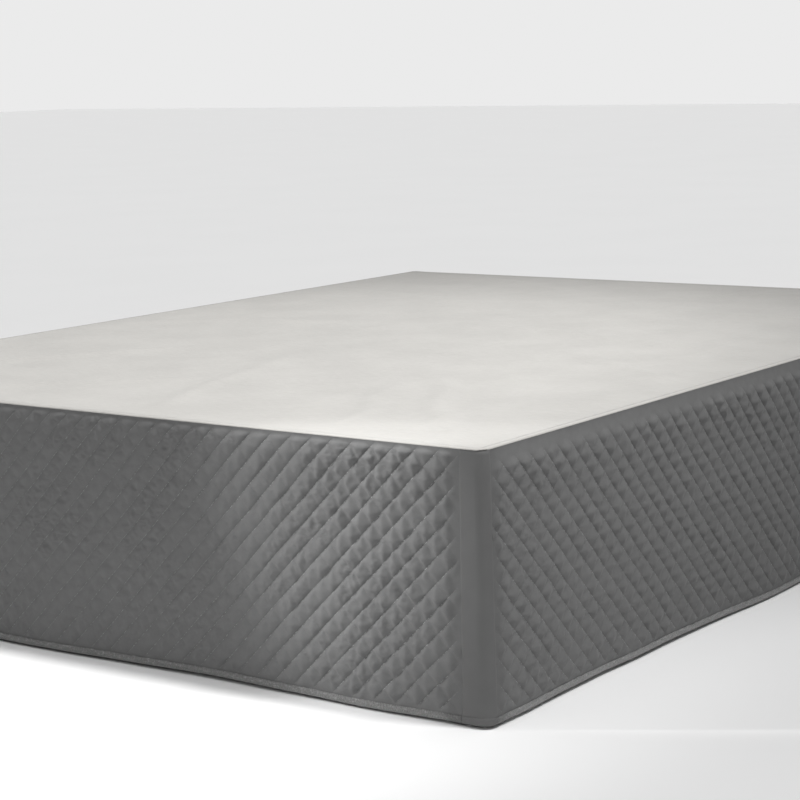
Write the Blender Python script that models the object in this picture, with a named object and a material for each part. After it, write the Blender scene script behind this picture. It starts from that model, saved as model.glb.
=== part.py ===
"""A bed skirt on the plain bed base that it covers.

The skirt is a deck sheet that lies on the base, three diamond-quilted panels that hang
from its edge (foot, left and right), a plain strip round each foot corner, and a binding
along the hem, in one length for each panel and strip. The head end is open. The base is
a covered box on six feet.

Units are metres. +Z is up, the head of the bed is towards +Y, the foot towards -Y.
"""

import math

import bmesh
import bpy
import numpy as np

# The bed base, a queen: 1.53 m wide, 2.03 m long.
BASE_WIDTH = 1.53
BASE_LENGTH = 2.03
BASE_CORNER_RADIUS = 0.020
BASE_EDGE_BEVEL = 0.006
FOOT_HEIGHT = 0.120
FOOT_TOP_RADIUS = 0.030
FOOT_BOTTOM_RADIUS = 0.024
FOOT_INSET = 0.105
FOOT_ROWS = 3
FOOT_SIDES = 24
FOOT_EDGE_BEVEL = 0.003

# The skirt.
SKIRT_HEIGHT = 0.400
HEM_ABOVE_FLOOR = 0.005
SHEET_THICKNESS = 0.002
PIECE_GAP = 0.0003
BASE_CLEARANCE = 0.002
FLARE_AT_HEM = 0.005
FLARE_POWER = 1.3

# Quilting: seams run at 45 degrees, so the lattice has square cells of half a diamond.
HALF_DIAMOND = 0.01855
PUFF_HEIGHT = 0.0045
QUILTED_ROWS = {"foot": 20, "left": 19, "right": 19}
QUILT_ABOVE_BINDING = 0.0015
SEAM_MARGIN = 0.003
HEAD_HEM_WIDTH = 0.012

# The plain strip round each foot corner reaches this far along the foot and the side.
CORNER_STRIP_ON_FOOT = 0.036
CORNER_STRIP_ON_SIDE = 0.024
ARC_STEPS = 8

# The binding is a folded strip that holds the raw lower edge of the cloth.
BINDING_HEIGHT = 0.011
BINDING_THICKNESS = 0.001

COLUMN_EVERY = 4  # lattice columns from one column of the plain back to the next
PLAIN_ROWS = 4  # rows of the plain back, and of a corner strip

# Soft swells and hollows along each side, as the cloth hangs. "at" is the place along
# the side (x on the foot, y on the sides), "reach" its half width, "out" how far it
# stands out at the hem and "lift" how far it raises the hem. All end before the corners.
FOLDS = {
    "foot": (
        {"at": -0.48, "reach": 0.22, "out": -0.003, "lift": 0.001},
        {"at": -0.10, "reach": 0.22, "out": 0.006, "lift": -0.001},
        {"at": 0.26, "reach": 0.18, "out": -0.004, "lift": 0.001},
        {"at": 0.57, "reach": 0.15, "out": 0.005, "lift": -0.001},
    ),
    "left": (
        {"at": -0.70, "reach": 0.24, "out": 0.005, "lift": -0.001},
        {"at": -0.28, "reach": 0.22, "out": -0.004, "lift": 0.001},
        {"at": 0.16, "reach": 0.26, "out": 0.006, "lift": -0.001},
        {"at": 0.62, "reach": 0.26, "out": -0.003, "lift": 0.002},
    ),
    "right": (
        {"at": -0.74, "reach": 0.20, "out": -0.004, "lift": 0.001},
        {"at": -0.50, "reach": 0.16, "out": -0.002, "lift": 0.001},
        {"at": -0.12, "reach": 0.26, "out": 0.008, "lift": -0.002},
        {"at": 0.34, "reach": 0.22, "out": -0.003, "lift": 0.001},
        {"at": 0.74, "reach": 0.22, "out": 0.004, "lift": -0.001},
    ),
}

# Worked out from the sizes above.
HALF_WIDTH = BASE_WIDTH / 2
HALF_LENGTH = BASE_LENGTH / 2
DECK_UNDERSIDE = SKIRT_HEIGHT - SHEET_THICKNESS
CLOTH_TOP = DECK_UNDERSIDE - PIECE_GAP
CLOTH_BOTTOM = HEM_ABOVE_FLOOR + BINDING_THICKNESS + PIECE_GAP
QUILT_BOTTOM = HEM_ABOVE_FLOOR + BINDING_HEIGHT + QUILT_ABOVE_BINDING
SEAM_ON_FOOT = HALF_WIDTH - CORNER_STRIP_ON_FOOT
SEAM_ON_SIDE = HALF_LENGTH - CORNER_STRIP_ON_SIDE

QUILTED_GREY = (0.1300, 0.1305, 0.1300)
PLAIN_GREY = (0.1080, 0.1080, 0.1075)
BINDING_GREY = (0.1650, 0.1650, 0.1630)
OFF_WHITE_DECK = (0.430, 0.420, 0.400)
OATMEAL_CLOTH = (0.440, 0.400, 0.350)
DARK_WOOD = (0.055, 0.033, 0.020)


def clear_scene():
    for obj in list(bpy.data.objects):
        bpy.data.objects.remove(obj, do_unlink=True)


def material(name, colour, roughness):
    made = bpy.data.materials.new(name)
    made.use_nodes = True
    shader = made.node_tree.nodes["Principled BSDF"]
    shader.inputs["Base Color"].default_value = (*colour, 1.0)
    shader.inputs["Roughness"].default_value = roughness
    shader.inputs["Metallic"].default_value = 0.0
    return made


def object_from(bm, name, finish, recalculate=True):
    """Turns a bmesh into a named object with its material."""
    if recalculate:
        bmesh.ops.recalc_face_normals(bm, faces=bm.faces)
    mesh = bpy.data.meshes.new(name)
    bm.to_mesh(mesh)
    bm.free()
    mesh.materials.append(finish)
    obj = bpy.data.objects.new(name, mesh)
    bpy.context.scene.collection.objects.link(obj)
    return obj


def folds_at(name, measure, along):
    """What a side's swells and hollows add up to at a place along it, for one column of their table."""
    total = 0.0
    for fold in FOLDS[name]:
        from_middle = abs(along - fold["at"]) / fold["reach"]
        if from_middle < 1:
            total += fold[measure] * math.cos(from_middle * math.pi / 2) ** 2
    return total


def flare(height):
    """The share of its full stand-out that the cloth has at a height: none at the top, all at the floor."""
    return max(0.0, 1 - height / SKIRT_HEIGHT) ** FLARE_POWER


class Side:
    """One straight side of the skirt: where its cloth stands, for any place along it.

    The cloth runs straight between columns, so that all of its pieces bend at the same places.
    """

    def __init__(self, name, start, end, end_margin):
        self.name = name
        self.start = start
        self.end = end
        self.rows = QUILTED_ROWS[name]
        self.quilt_start = start + SEAM_MARGIN
        quilt_length = end - end_margin - self.quilt_start
        self.cells = round(quilt_length / HALF_DIAMOND)
        self.cell = quilt_length / self.cells
        inner = range(COLUMN_EVERY, self.cells - 1, COLUMN_EVERY)
        self.columns = [start, *(self.quilt_start + self.cell * k for k in inner), end]
        self.sags = [FLARE_AT_HEM + folds_at(name, "out", along) for along in self.columns]
        self.lifts = [folds_at(name, "lift", along) for along in self.columns]

    def point(self, along, height, out):
        """A point in space: along the side, up, and out from the cloth's inner face."""
        off = BASE_CLEARANCE + float(np.interp(along, self.columns, self.sags)) * flare(height) + out
        lift = float(np.interp(along, self.columns, self.lifts)) * (1 - height / SKIRT_HEIGHT)
        if self.name == "foot":
            return (along, -HALF_LENGTH - off, height + lift)
        across = HALF_WIDTH + off
        return (across if self.name == "right" else -across, along, height + lift)


class Corner:
    """A foot corner of the skirt, from the foot round to the side. hand is -1 for left and 1 for right."""

    def __init__(self, hand):
        self.hand = hand
        centre_x = HALF_WIDTH - BASE_CORNER_RADIUS
        centre_y = BASE_CORNER_RADIUS - HALF_LENGTH
        self.route = [((SEAM_ON_FOOT + PIECE_GAP, -HALF_LENGTH), (0.0, -1.0))]
        for step in range(ARC_STEPS + 1):
            angle = math.pi / 2 * (step / ARC_STEPS - 1)
            out = (math.cos(angle), math.sin(angle))
            place = (centre_x + BASE_CORNER_RADIUS * out[0], centre_y + BASE_CORNER_RADIUS * out[1])
            self.route.append((place, out))
        self.route.append(((HALF_WIDTH, -SEAM_ON_SIDE - PIECE_GAP), (1.0, 0.0)))
        self.columns = range(len(self.route))

    def point(self, column, height, out):
        """A point in space: at a column of the route, up, and out from the cloth's inner face."""
        (x, y), (out_x, out_y) = self.route[column]
        off = BASE_CLEARANCE + FLARE_AT_HEM * flare(height) + out
        return (self.hand * (x + off * out_x), y + off * out_y, height)


def plain_heights():
    """The heights of a plain face's rows, from the lower edge of the cloth to its top."""
    step = (CLOTH_TOP - CLOTH_BOTTOM) / PLAIN_ROWS
    return [CLOTH_BOTTOM + step * k for k in range(PLAIN_ROWS + 1)]


def stitch(bm, first, second):
    """Fills the band between two rows of vertices that run the same way, whatever their counts."""
    i = j = 0
    while i < len(first) - 1 or j < len(second) - 1:
        first_share = (i + 1) / max(1, len(first) - 1)
        second_share = (j + 1) / max(1, len(second) - 1)
        if j == len(second) - 1 or (i < len(first) - 1 and first_share <= second_share):
            bm.faces.new((first[i], first[i + 1], second[j]))
            i += 1
        else:
            bm.faces.new((first[i], second[j + 1], second[j]))
            j += 1


def quilted_panel(name, side, finish):
    """A panel whose front is a lattice of low pyramids, one for each quilted diamond."""
    bm = bmesh.new()

    def vertex(along, height, out):
        return bm.verts.new(side.point(along, height, out))

    lattice = []
    for row in range(side.rows + 1):
        height = QUILT_BOTTOM + row * HALF_DIAMOND
        line = []
        for column in range(side.cells + 1):
            on_rim = row in (0, side.rows) or column in (0, side.cells)
            is_middle = (row + column) % 2 == 1 and not on_rim
            out = SHEET_THICKNESS + (PUFF_HEIGHT if is_middle else 0.0)
            line.append(vertex(side.quilt_start + column * side.cell, height, out))
        lattice.append(line)
    for row in range(side.rows):
        for column in range(side.cells):
            a, b = lattice[row][column], lattice[row][column + 1]
            c, d = lattice[row + 1][column + 1], lattice[row + 1][column]
            if (row + column) % 2 == 0:
                halves = ((a, b, c), (a, c, d))  # the seam runs from a to c
            else:
                halves = ((a, b, d), (b, c, d))  # the seam runs from b to d
            for half in halves:
                bm.faces.new(half)

    heights = plain_heights()
    back = [[vertex(along, height, 0.0) for along in side.columns] for height in heights]
    for lower, upper in zip(back, back[1:]):
        for k in range(len(lower) - 1):
            bm.faces.new((lower[k], lower[k + 1], upper[k + 1], upper[k]))

    bottom = [vertex(along, heights[0], SHEET_THICKNESS) for along in side.columns]
    top = [vertex(along, heights[-1], SHEET_THICKNESS) for along in side.columns]
    start = [bottom[0], *(vertex(side.start, h, SHEET_THICKNESS) for h in heights[1:-1]), top[0]]
    end = [bottom[-1], *(vertex(side.end, h, SHEET_THICKNESS) for h in heights[1:-1]), top[-1]]
    stitch(bm, bottom, lattice[0])
    stitch(bm, top, lattice[-1])
    stitch(bm, start, [line[0] for line in lattice])
    stitch(bm, end, [line[-1] for line in lattice])
    stitch(bm, bottom, back[0])
    stitch(bm, top, back[-1])
    stitch(bm, start, [line[0] for line in back])
    stitch(bm, end, [line[-1] for line in back])
    return object_from(bm, name, finish)


def corner_strip(name, corner, finish):
    """The plain strip round a foot corner."""
    bm = bmesh.new()

    def face_rows(out):
        return [
            [bm.verts.new(corner.point(column, height, out)) for column in corner.columns]
            for height in plain_heights()
        ]

    inner = face_rows(0.0)
    outer = face_rows(SHEET_THICKNESS)
    for rows in (inner, outer):
        for lower, upper in zip(rows, rows[1:]):
            for k in range(len(lower) - 1):
                bm.faces.new((lower[k], lower[k + 1], upper[k + 1], upper[k]))
    stitch(bm, inner[0], outer[0])
    stitch(bm, inner[-1], outer[-1])
    stitch(bm, [row[0] for row in inner], [row[0] for row in outer])
    stitch(bm, [row[-1] for row in inner], [row[-1] for row in outer])
    return object_from(bm, name, finish)


def hem_binding(name, place, finish):
    """A length of the folded strip along the hem: a channel that the cloth's lower edge sits in."""
    low, high = HEM_ABOVE_FLOOR, HEM_ABOVE_FLOOR + BINDING_HEIGHT
    fold = low + BINDING_THICKNESS
    slot_front = SHEET_THICKNESS + PIECE_GAP
    slot_rear = -PIECE_GAP
    front = slot_front + BINDING_THICKNESS
    rear = slot_rear - BINDING_THICKNESS
    profile = (
        (front, low), (front, high), (slot_front, high), (slot_front, fold),
        (slot_rear, fold), (slot_rear, high), (rear, high), (rear, low),
    )
    bm = bmesh.new()
    rings = [
        [bm.verts.new(place.point(column, height, out)) for out, height in profile]
        for column in place.columns
    ]
    for ring, following in zip(rings, rings[1:]):
        for k in range(len(profile)):
            after = (k + 1) % len(profile)
            bm.faces.new((ring[k], ring[after], following[after], following[k]))
    for ring in (rings[0], rings[-1]):
        bm.faces.new(ring)
    return object_from(bm, name, finish)


def outline(half_width, foot_end, head_end, foot_radius, head_radius):
    """A rectangle in plan with rounded corners, counter-clockwise; a radius of 0 leaves a square corner."""
    corners = (
        (half_width, foot_end, foot_radius, -90),
        (half_width, head_end, head_radius, 0),
        (-half_width, head_end, head_radius, 90),
        (-half_width, foot_end, foot_radius, 180),
    )
    points = []
    for x, y, radius, first_angle in corners:
        centre_x = x - math.copysign(radius, x)
        centre_y = y - math.copysign(radius, y)
        steps = ARC_STEPS if radius else 0
        for step in range(steps + 1):
            angle = math.radians(first_angle + 90 * step / max(1, steps))
            points.append((centre_x + radius * math.cos(angle), centre_y + radius * math.sin(angle)))
    return points


def slab(name, points, low, high, edge_bevel, finish):
    """A flat outline raised to a slab, with its upper and lower edges bevelled."""
    bm = bmesh.new()
    face = bm.faces.new([bm.verts.new((x, y, low)) for x, y in points])
    raised = bmesh.ops.extrude_face_region(bm, geom=[face])["geom"]
    lifted = [item for item in raised if isinstance(item, bmesh.types.BMVert)]
    bmesh.ops.translate(bm, verts=lifted, vec=(0.0, 0.0, high - low))
    bmesh.ops.recalc_face_normals(bm, faces=bm.faces)
    if edge_bevel:
        rim = [edge for edge in bm.edges if abs(edge.verts[0].co.z - edge.verts[1].co.z) < edge_bevel / 10]
        bmesh.ops.bevel(bm, geom=rim, offset=edge_bevel, segments=3, profile=0.5, affect="EDGES")
    return object_from(bm, name, finish, recalculate=False)


def bed_foot(name, x, y, finish):
    """A turned, slightly tapered foot."""
    bm = bmesh.new()
    height = FOOT_HEIGHT - PIECE_GAP
    bmesh.ops.create_cone(
        bm,
        cap_ends=True,
        segments=FOOT_SIDES,
        radius1=FOOT_BOTTOM_RADIUS,
        radius2=FOOT_TOP_RADIUS,
        depth=height,
    )
    floor_rim = [edge for edge in bm.edges if all(v.co.z < 0 for v in edge.verts)]
    bmesh.ops.bevel(bm, geom=floor_rim, offset=FOOT_EDGE_BEVEL, segments=2, profile=0.5, affect="EDGES")
    foot = object_from(bm, name, finish)
    foot.location = (x, y, height / 2)
    return foot


def bed_base(finish, foot_finish):
    body = outline(HALF_WIDTH, -HALF_LENGTH, HALF_LENGTH, BASE_CORNER_RADIUS, BASE_CORNER_RADIUS)
    slab("bed_base", body, FOOT_HEIGHT, DECK_UNDERSIDE - PIECE_GAP, BASE_EDGE_BEVEL, finish)
    across = HALF_WIDTH - FOOT_INSET
    lengthways = HALF_LENGTH - FOOT_INSET
    for row in range(FOOT_ROWS):
        y = -lengthways + 2 * lengthways * row / (FOOT_ROWS - 1)
        bed_foot(f"base_foot_left_{row + 1}", -across, y, foot_finish)
        bed_foot(f"base_foot_right_{row + 1}", across, y, foot_finish)


def bed_skirt(quilted, plain, tape, deck_cloth):
    stand_out = BASE_CLEARANCE + SHEET_THICKNESS
    deck = outline(
        HALF_WIDTH + stand_out, -HALF_LENGTH - stand_out, HALF_LENGTH, BASE_CORNER_RADIUS + stand_out, 0.0
    )
    slab("deck_sheet", deck, DECK_UNDERSIDE, SKIRT_HEIGHT, 0.0, deck_cloth)
    sides = {
        "foot": Side("foot", -SEAM_ON_FOOT, SEAM_ON_FOOT, SEAM_MARGIN),
        "left": Side("left", -SEAM_ON_SIDE, HALF_LENGTH, HEAD_HEM_WIDTH),
        "right": Side("right", -SEAM_ON_SIDE, HALF_LENGTH, HEAD_HEM_WIDTH),
    }
    for name, side in sides.items():
        quilted_panel(f"quilted_panel_{name}", side, quilted)
        hem_binding(f"hem_binding_{name}", side, tape)
    for name, corner in {"left": Corner(-1), "right": Corner(1)}.items():
        corner_strip(f"corner_strip_{name}", corner, plain)
        hem_binding(f"hem_binding_corner_{name}", corner, plain)


def centre_on_floor():
    """Moves everything so that the origin is at the middle of the whole part, on the floor."""
    bpy.context.view_layer.update()
    corners = np.array(
        [obj.matrix_world @ vertex.co for obj in bpy.data.objects for vertex in obj.data.vertices]
    )
    middle = (corners.min(axis=0) + corners.max(axis=0)) / 2
    for obj in bpy.data.objects:
        obj.location.x -= middle[0]
        obj.location.y -= middle[1]


def main():
    clear_scene()
    quilted = material("grey quilted cloth", QUILTED_GREY, 0.75)
    plain = material("grey plain cloth", PLAIN_GREY, 0.75)
    tape = material("grey binding tape", BINDING_GREY, 0.85)
    deck_cloth = material("off-white deck cloth", OFF_WHITE_DECK, 0.85)
    base_cloth = material("oatmeal base cloth", OATMEAL_CLOTH, 0.9)
    wood = material("dark wood", DARK_WOOD, 0.45)
    bed_base(base_cloth, wood)
    bed_skirt(quilted, plain, tape, deck_cloth)
    centre_on_floor()


main()
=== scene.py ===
import math

import bmesh
import bpy
import numpy as np
from mathutils import Matrix, Quaternion, Vector


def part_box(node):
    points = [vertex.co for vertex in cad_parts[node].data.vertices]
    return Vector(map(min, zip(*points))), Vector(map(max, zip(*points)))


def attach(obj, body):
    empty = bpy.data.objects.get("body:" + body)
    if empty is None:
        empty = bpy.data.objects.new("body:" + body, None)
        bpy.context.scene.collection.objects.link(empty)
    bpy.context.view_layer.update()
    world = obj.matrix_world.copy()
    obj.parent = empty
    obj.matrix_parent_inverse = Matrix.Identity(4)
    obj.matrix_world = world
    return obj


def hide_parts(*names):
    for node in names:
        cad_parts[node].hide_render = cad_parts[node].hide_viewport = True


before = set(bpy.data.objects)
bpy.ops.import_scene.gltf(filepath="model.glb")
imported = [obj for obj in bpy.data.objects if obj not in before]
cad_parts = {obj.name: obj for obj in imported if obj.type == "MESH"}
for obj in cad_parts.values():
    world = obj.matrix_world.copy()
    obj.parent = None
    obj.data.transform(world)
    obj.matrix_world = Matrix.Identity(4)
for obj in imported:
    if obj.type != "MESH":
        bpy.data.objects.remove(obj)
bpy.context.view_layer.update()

baseLow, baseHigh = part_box("bed_base")
deckLow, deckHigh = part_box("deck_sheet")
middle = (baseLow + baseHigh) / 2  # plan middle of the bed base
halfWidth = (baseHigh.x - baseLow.x) / 2
halfLength = (baseHigh.y - baseLow.y) / 2

# how the skirt hangs, shared by all of its cloth
skirt = {
    "drop": deckHigh.z,
    "hemHeight": 0.005,  # hem above the floor
    "rawEdge": 0.0013,  # from the hem up to the cloth's raw edge inside the binding
    "thickness": 0.002,
    "pieceGap": 0.0003,
    "clearance": 0.002,  # from the base to the cloth
    "flare": 0.005,  # how far the hem stands out
    "flarePower": 1.3,
    "lean": 0.0013,  # how far the cloth leans in as it bends over the base's rim
    "leanReach": 0.028,
    "headingSwell": 0.003,  # how far the cloth rolls out under its heading
    "headingReach": 0.026,
    "headingFrom": 0.27,
    "unevenness": 0.0009,  # small swells of the hanging cloth
    "unevenSize": 0.085,
    "unevenSeeds": {"foot": 3, "left": 5, "right": 8},
    "calmEnds": 0.08,  # how near a panel's end the swells die away
    "cornerRadius": 0.012,
    "stripOnFoot": 0.036,
    "stripOnSide": 0.014,
    "seamGap": 0.0001,
    "seamMargin": 0.003,
    "headHem": 0.012,
    "seamDip": 0.00006,  # how far a sewn edge turns in
    "seamWidth": 0.002,
}

# soft folds: place along the side, half width, how far the hem stands out and how far it lifts
folds = {
    "foot": (
        {"at": -0.48, "reach": 0.22, "out": -0.003, "lift": 0.001},
        {"at": -0.10, "reach": 0.22, "out": 0.006, "lift": -0.001},
        {"at": 0.26, "reach": 0.18, "out": -0.004, "lift": 0.001},
        {"at": 0.57, "reach": 0.15, "out": 0.005, "lift": -0.001},
    ),
    "left": (
        {"at": -0.70, "reach": 0.24, "out": 0.005, "lift": -0.001},
        {"at": -0.28, "reach": 0.22, "out": -0.004, "lift": 0.001},
        {"at": 0.16, "reach": 0.26, "out": 0.006, "lift": -0.001},
        {"at": 0.62, "reach": 0.26, "out": -0.003, "lift": 0.002},
    ),
    "right": (
        {"at": -0.74, "reach": 0.20, "out": -0.004, "lift": 0.001},
        {"at": -0.50, "reach": 0.16, "out": -0.002, "lift": 0.001},
        {"at": -0.12, "reach": 0.26, "out": 0.008, "lift": -0.002},
        {"at": 0.34, "reach": 0.22, "out": -0.003, "lift": 0.001},
        {"at": 0.74, "reach": 0.22, "out": 0.004, "lift": -0.001},
    ),
}

clothTop = deckLow.z - skirt["pieceGap"]
clothBottom = skirt["hemHeight"] + skirt["rawEdge"]
seamOnFoot = halfWidth - skirt["stripOnFoot"] + skirt["seamGap"] / 2
seamOnSide = halfLength - skirt["stripOnSide"] + skirt["seamGap"] / 2
sideEnds = {
    "foot": (-seamOnFoot, seamOnFoot),
    "left": (-seamOnSide, halfLength),
    "right": (-seamOnSide, halfLength),
}


def smoothStep(low, high, value):
    share = np.clip((value - low) / (high - low), 0.0, 1.0)
    return share * share * (3 - 2 * share)


def blend(pair, share):
    return pair[0] + (pair[1] - pair[0]) * share


def thinned(places, step):  # every so many of them, and the last
    return np.unique(np.concatenate([places[::step], places[-1:]]))


noiseTable = {"rows": 97, "columns": 89, "shift": 500}  # the shift keeps places on the table


def softNoise(x, y, cell, seed):  # smooth noise from -1 to 1, with a random value at each corner of a cell
    rows, columns, shift = noiseTable["rows"], noiseTable["columns"], noiseTable["shift"]
    table = np.random.RandomState(seed).uniform(-1, 1, (rows, columns))
    gridX, gridY = np.asarray(x) / cell + shift, np.asarray(y) / cell + shift
    cellX, cellY = np.floor(gridX).astype(int), np.floor(gridY).astype(int)
    shareX, shareY = smoothStep(0, 1, gridX - cellX), smoothStep(0, 1, gridY - cellY)

    def value(stepX, stepY):
        return table[(cellX + stepX) % rows, (cellY + stepY) % columns]

    near = value(0, 0) * (1 - shareX) + value(1, 0) * shareX
    far = value(0, 1) * (1 - shareX) + value(1, 1) * shareX
    return near * (1 - shareY) + far * shareY


def foldsAt(side, measure, along):
    total = np.zeros_like(along)
    for fold in folds[side]:
        fromMiddle = np.clip(np.abs(along - fold["at"]) / fold["reach"], 0, 1)
        total += fold[measure] * np.cos(fromMiddle * math.pi / 2) ** 2
    return total


def flareAt(height):
    return np.clip(1 - height / skirt["drop"], 0, 1) ** skirt["flarePower"]


def leanAt(height):
    return skirt["lean"] * smoothStep(clothTop - skirt["leanReach"], clothTop, height)


def headingAt(height):
    below = clothTop - skirt["headingReach"]
    falls = 1 - smoothStep(below, clothTop, height)
    return skirt["headingSwell"] * falls * smoothStep(skirt["headingFrom"], below, height)


def place(side, along, height, out):  # points of a straight side, out from the cloth's inner face
    start, end = sideEnds[side]
    share = flareAt(height)
    inside = smoothStep(0, skirt["calmEnds"], along - start) * smoothStep(0, skirt["calmEnds"], end - along)
    swell = softNoise(along, height, skirt["unevenSize"], skirt["unevenSeeds"][side])
    off = skirt["clearance"] + (skirt["flare"] + foldsAt(side, "out", along)) * share + out
    off = off + swell * skirt["unevenness"] * inside * np.sqrt(share)
    off = off - leanAt(height) + headingAt(height) * inside
    z = height + foldsAt(side, "lift", along) * (1 - height / skirt["drop"])
    if side == "foot":
        return np.stack([middle.x + along, middle.y - halfLength - off, z], -1)
    x = middle.x + (halfWidth + off) * (1 if side == "right" else -1)
    return np.stack([x, middle.y + along, z], -1)


def deselectAll():
    if bpy.context.object and bpy.context.object.mode != "OBJECT":
        bpy.ops.object.mode_set(mode="OBJECT")
    bpy.ops.object.select_all(action="DESELECT")


def selectOnly(made, kind, wanted):  # in edit mode, the edges or faces that are wanted
    bpy.ops.mesh.select_all(action="DESELECT")
    bm = bmesh.from_edit_mesh(made.data)
    for element in getattr(bm, kind):
        element.select_set(wanted(element))
    bmesh.update_edit_mesh(made.data)


def zipped(first, second):  # triangles between two rows of points that run the same way
    faces = []
    i = j = 0
    while i < len(first) - 1 or j < len(second) - 1:
        nextFirst = (i + 1) / max(1, len(first) - 1)
        nextSecond = (j + 1) / max(1, len(second) - 1)
        if j == len(second) - 1 or (i < len(first) - 1 and nextFirst <= nextSecond):
            faces.append((first[i], first[i + 1], second[j]))
            i += 1
        else:
            faces.append((first[i], second[j + 1], second[j]))
            j += 1
    return faces


def gridFaces(numbers, splitUp=None, splitDown=None):  # quads, with some split along a diagonal
    a, b = numbers[:-1, :-1], numbers[:-1, 1:]
    c, d = numbers[1:, 1:], numbers[1:, :-1]
    none = np.zeros(a.shape, bool)
    splitUp = none if splitUp is None else splitUp
    splitDown = none if splitDown is None else splitDown & ~splitUp
    whole = ~(splitUp | splitDown)
    faces = np.stack([a[whole], b[whole], c[whole], d[whole]], -1).tolist()
    for split, halves in ((splitUp, ((a, b, c), (a, c, d))), (splitDown, ((a, b, d), (b, c, d)))):
        for half in halves:
            faces += np.stack([corner[split] for corner in half], -1).tolist()
    return faces


def sheetMesh(name, front, back, uvFront, uvBack, splitUp=None, splitDown=None):
    rows, columns = front.shape[:2]
    frontNumbers = np.arange(rows * columns).reshape(rows, columns)
    backNumbers = np.arange(back.shape[0] * back.shape[1]).reshape(back.shape[:2]) + rows * columns
    faces = gridFaces(frontNumbers, splitUp, splitDown) + gridFaces(backNumbers)
    rimStart = len(faces)
    for edge in ((0, slice(None)), (-1, slice(None)), (slice(None), 0), (slice(None), -1)):
        faces += zipped(frontNumbers[edge].tolist(), backNumbers[edge].tolist())
    points = np.concatenate([front.reshape(-1, 3), back.reshape(-1, 3)])
    uv = np.concatenate([uvFront.reshape(-1, 2), uvBack.reshape(-1, 2)])
    made = clothObject(name, points, faces, uv)
    flat = made.data.attributes.new("sharp_face", "BOOLEAN", "FACE")
    flat.data.foreach_set("value", np.arange(len(faces)) >= rimStart)  # so that joints show no dark line
    return made


def clothObject(name, points, faces, uv):
    mesh = bpy.data.meshes.new(name)
    mesh.from_pydata(points.tolist(), [], faces)
    bm = bmesh.new()
    bm.from_mesh(mesh)
    bmesh.ops.recalc_face_normals(bm, faces=bm.faces)
    bm.to_mesh(mesh)
    bm.free()
    corners = np.empty(len(mesh.loops), np.int32)
    mesh.loops.foreach_get("vertex_index", corners)
    layer = mesh.uv_layers.new(name="clothUV")
    layer.data.foreach_set("uv", uv[corners].astype(np.float32).ravel())
    mesh.shade_smooth()
    made = bpy.data.objects.new(name, mesh)
    bpy.context.scene.collection.objects.link(made)
    return made


def pointValues(made, name, front, behind=0.0):  # a value for each point of the front, and one for the rest
    values = np.full(len(made.data.vertices), behind, np.float32)
    values[:front.size] = front.ravel()
    layer = made.data.attributes.new(name, "FLOAT", "POINT")
    layer.data.foreach_set("value", values)


def finishPiece(made, finish, slot, *nodes):
    made.data.materials.clear()
    made.data.materials.append(finish)
    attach(made, "root")
    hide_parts(*nodes)
    return made


everyFinish = {"sheenRoughness": 0.4, "specular": 0.35}


def newMaterial(name, values):
    material = bpy.data.materials.new(name)
    material.use_nodes = True
    shader = material.node_tree.nodes["Principled BSDF"]
    shader.inputs["Roughness"].default_value = values["roughness"]
    shader.inputs["Sheen Weight"].default_value = values.get("sheen", 0.0)
    shader.inputs["Sheen Roughness"].default_value = everyFinish["sheenRoughness"]
    shader.inputs["Specular IOR Level"].default_value = everyFinish["specular"]
    return material, material.node_tree, shader


def addNode(tree, kind, inputs=None, **settings):
    made = tree.nodes.new(kind)
    for key, value in settings.items():
        setattr(made, key, value)
    for key, value in (inputs or {}).items():
        if isinstance(value, bpy.types.NodeSocket):
            tree.links.new(value, made.inputs[key])
        else:
            made.inputs[key].default_value = value
    return made


def calc(tree, operation, *values):
    return addNode(tree, "ShaderNodeMath", dict(enumerate(values)), operation=operation).outputs[0]


def between(tree, value, fromLow, fromHigh, toLow=0.0, toHigh=1.0):  # smoothly from one range to another
    made = addNode(tree, "ShaderNodeMapRange", {"Value": value}, interpolation_type="SMOOTHSTEP")
    for key, limit in (("From Min", fromLow), ("From Max", fromHigh), ("To Min", toLow), ("To Max", toHigh)):
        made.inputs[key].default_value = limit
    return made.outputs["Result"]


def clothPlace(tree):
    return addNode(tree, "ShaderNodeUVMap", uv_map="clothUV").outputs["UV"]


def attribute(tree, name):
    return addNode(tree, "ShaderNodeAttribute", attribute_name=name).outputs["Fac"]


def stretched(tree, vector, scale):
    return addNode(tree, "ShaderNodeMapping", {"Vector": vector, "Scale": scale}).outputs["Vector"]


def noise(tree, vector, pattern):  # the pattern has a scale, or a stretch for each direction
    if "stretch" in pattern:
        vector = stretched(tree, vector, pattern["stretch"])
    inputs = {"Vector": vector, "Scale": pattern.get("scale", 1.0), "Detail": pattern.get("detail", 2.0),
              "Roughness": pattern.get("roughness", 0.5)}
    return addNode(tree, "ShaderNodeTexNoise", inputs).outputs["Fac"]


def mottle(tree, vector, pattern):  # noise spread over a range of shades
    return between(tree, noise(tree, vector, pattern), *pattern["from"], *pattern.get("to", (0.0, 1.0)))


def dashes(tree, along, pitch, ends):  # 1 on a stitch and 0 between two
    return between(tree, calc(tree, "PINGPONG", calc(tree, "DIVIDE", along, pitch), 0.5), *ends)


def tinted(tree, colour, factor):  # a colour made lighter or darker by a factor that varies
    mixed = addNode(tree, "ShaderNodeVectorMath", {0: colour, "Scale": factor}, operation="SCALE")
    return mixed.outputs["Vector"]


def bump(tree, height, distance, normal=None, strength=1.0):
    inputs = {"Height": height, "Distance": distance, "Strength": strength}
    if normal is not None:
        inputs["Normal"] = normal
    return addNode(tree, "ShaderNodeBump", inputs).outputs["Normal"]


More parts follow.
